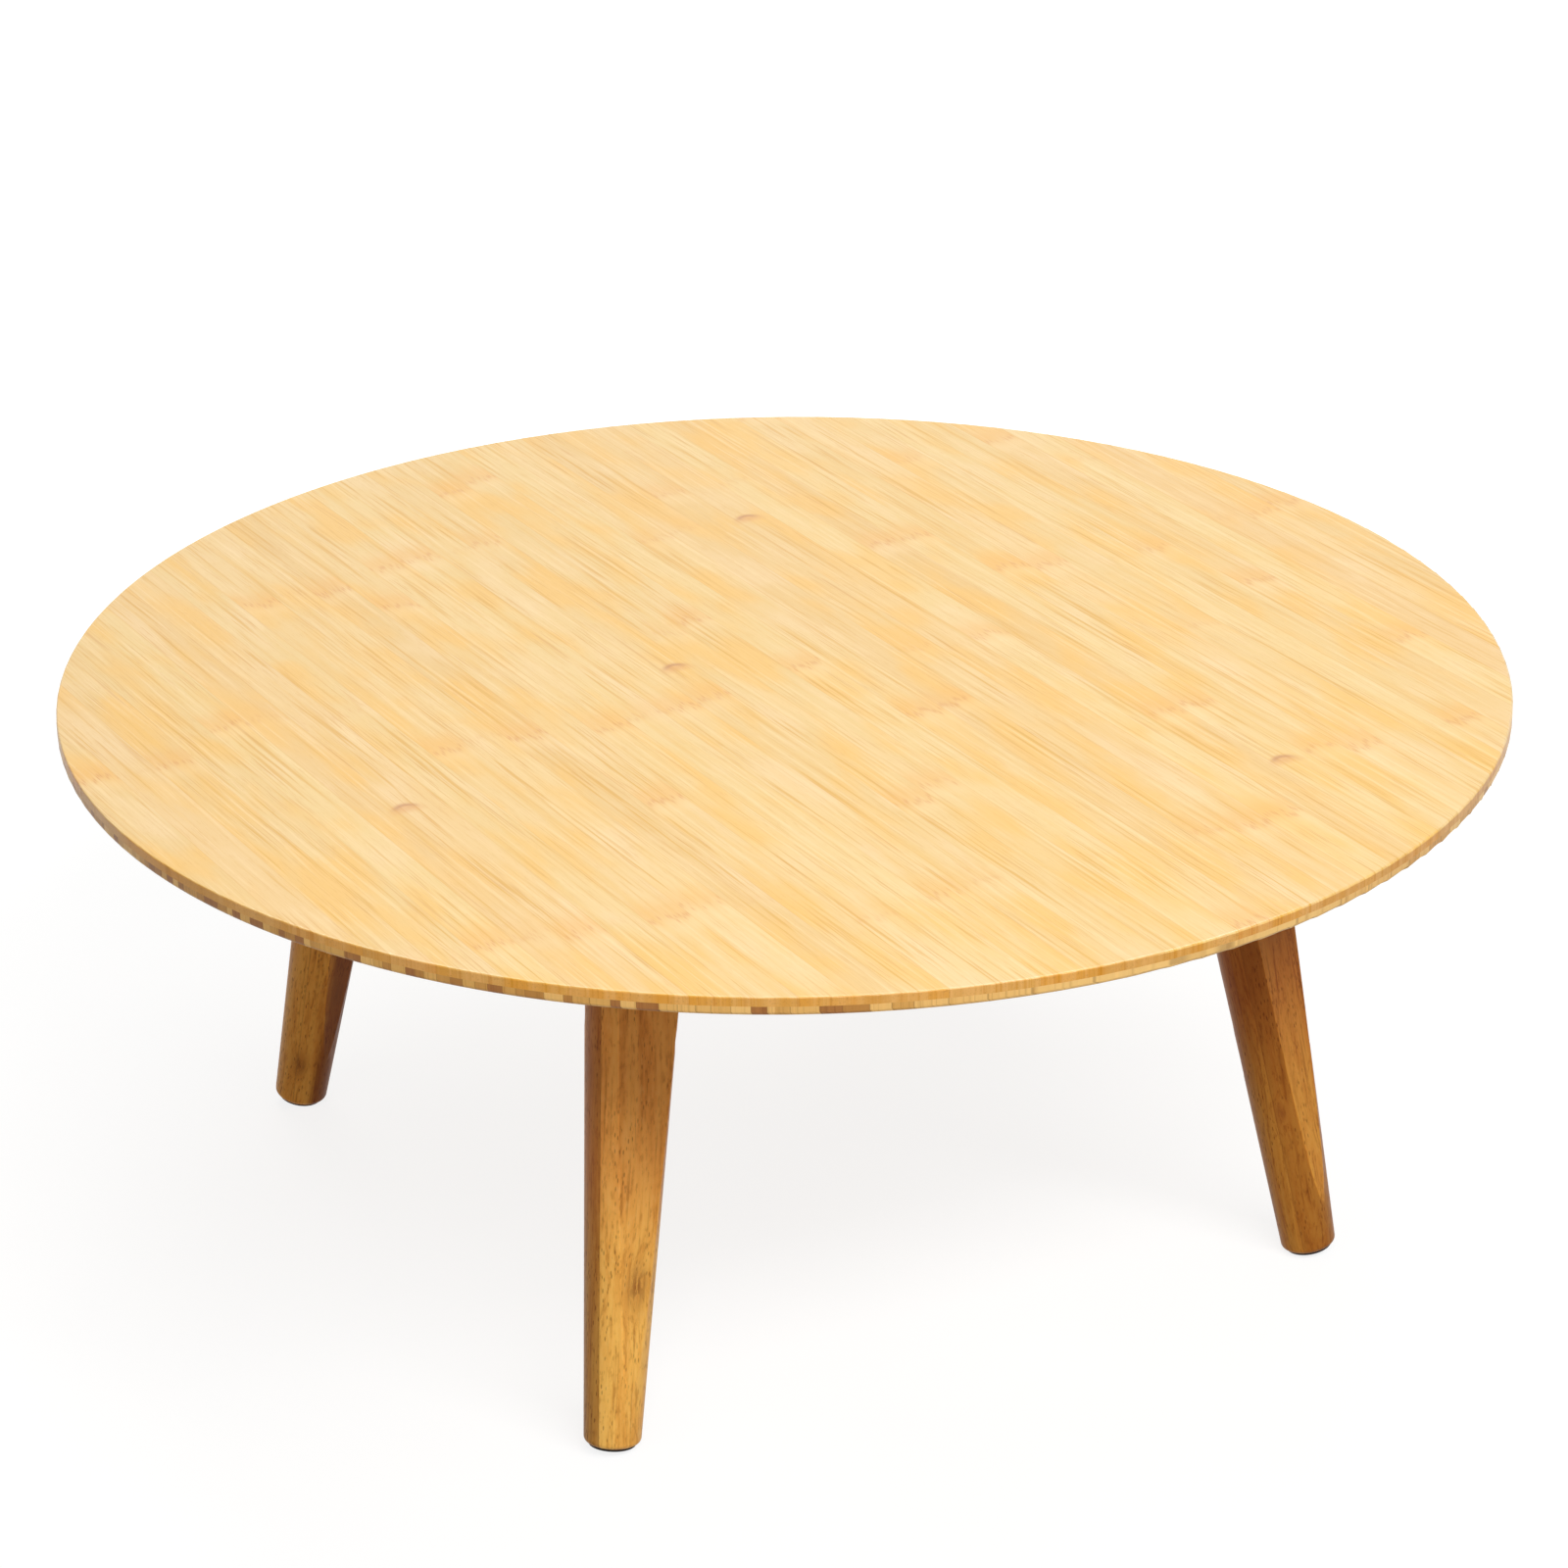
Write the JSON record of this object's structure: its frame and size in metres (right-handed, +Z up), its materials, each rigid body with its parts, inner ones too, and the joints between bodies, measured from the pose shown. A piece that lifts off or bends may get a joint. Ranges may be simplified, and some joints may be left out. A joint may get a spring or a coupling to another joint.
{
  "type": "chabudai folding low table",
  "caption": "Round two-ply bamboo folding low table on splayed tapered legs that swing up under the top on steel brackets.",
  "frame": {"origin": "on the floor under the centre of the round top", "axes": "+Z up through the top; +Y along the strips of the upper ply; the legs fold towards the X centre line"},
  "size_m": [0.7999, 0.8, 0.32],
  "materials": {
    "top_bamboo": "natural bamboo strips, satin lacquer",
    "cross_bamboo": "bamboo strips of mixed tone, satin lacquer",
    "leg_bamboo": "carbonised laminated bamboo, gloss lacquer",
    "foot_rubber": "matt black rubber",
    "bush_brass": "drawn brass",
    "zinc_steel": "bright zinc plate",
    "washer_nylon": "natural nylon",
    "bracket_steel": "black powder coat",
    "spring_steel": "blued spring steel"
  },
  "bodies": {
    "table_top": {"upper_ply": "top_bamboo", "lower_ply": "cross_bamboo", "bracket_screws": "zinc_steel", "block_screws": "zinc_steel", "spring_rivets": "zinc_steel", "front_left_pivot_bolt": "zinc_steel", "front_left_lock_nut": "zinc_steel", "front_left_thrust_washers": "washer_nylon", "front_left_bracket": "bracket_steel", "front_left_stop_pin": "zinc_steel", "front_left_detent_spring": "spring_steel", "front_left_wedge_block": "leg_bamboo", "front_right_pivot_bolt": "zinc_steel", "front_right_lock_nut": "zinc_steel", "front_right_thrust_washers": "washer_nylon", "front_right_bracket": "bracket_steel", "front_right_stop_pin": "zinc_steel", "front_right_detent_spring": "spring_steel", "front_right_wedge_block": "leg_bamboo", "rear_left_pivot_bolt": "zinc_steel", "rear_left_lock_nut": "zinc_steel", "rear_left_thrust_washers": "washer_nylon", "rear_left_bracket": "bracket_steel", "rear_left_stop_pin": "zinc_steel", "rear_left_detent_spring": "spring_steel", "rear_left_wedge_block": "leg_bamboo", "rear_right_pivot_bolt": "zinc_steel", "rear_right_lock_nut": "zinc_steel", "rear_right_thrust_washers": "washer_nylon", "rear_right_bracket": "bracket_steel", "rear_right_stop_pin": "zinc_steel", "rear_right_detent_spring": "spring_steel", "rear_right_wedge_block": "leg_bamboo"},
    "front_left_leg": {"front_left_leg": "leg_bamboo", "front_left_foot_pad": "foot_rubber", "front_left_pivot_bush": "bush_brass"},
    "front_right_leg": {"front_right_leg": "leg_bamboo", "front_right_foot_pad": "foot_rubber", "front_right_pivot_bush": "bush_brass"},
    "rear_left_leg": {"rear_left_leg": "leg_bamboo", "rear_left_foot_pad": "foot_rubber", "rear_left_pivot_bush": "bush_brass"},
    "rear_right_leg": {"rear_right_leg": "leg_bamboo", "rear_right_foot_pad": "foot_rubber", "rear_right_pivot_bush": "bush_brass"}
  },
  "joints": [
    {"name": "front_left_fold", "type": "hinge", "parent": "table_top", "child": "front_left_leg", "pos_m": [-0.1809, -0.1809, 0.264], "axis": [0.1123, -0.9861, 0.1228], "range_deg": [0, 97], "deforming": ["front_left_detent_spring"]},
    {"name": "front_right_fold", "type": "hinge", "parent": "table_top", "child": "front_right_leg", "pos_m": [0.1809, -0.1809, 0.264], "axis": [-0.3124, 0.9337, -0.1751], "range_deg": [0, 97], "deforming": ["front_right_detent_spring"]},
    {"name": "rear_left_fold", "type": "hinge", "parent": "table_top", "child": "rear_left_leg", "pos_m": [-0.1809, 0.1809, 0.264], "axis": [0.3124, -0.9337, -0.1751], "range_deg": [0, 97], "deforming": ["rear_left_detent_spring"]},
    {"name": "rear_right_fold", "type": "hinge", "parent": "table_top", "child": "rear_right_leg", "pos_m": [0.1809, 0.1809, 0.264], "axis": [-0.1123, 0.9861, 0.1228], "range_deg": [0, 97], "deforming": ["rear_right_detent_spring"]}
  ]
}
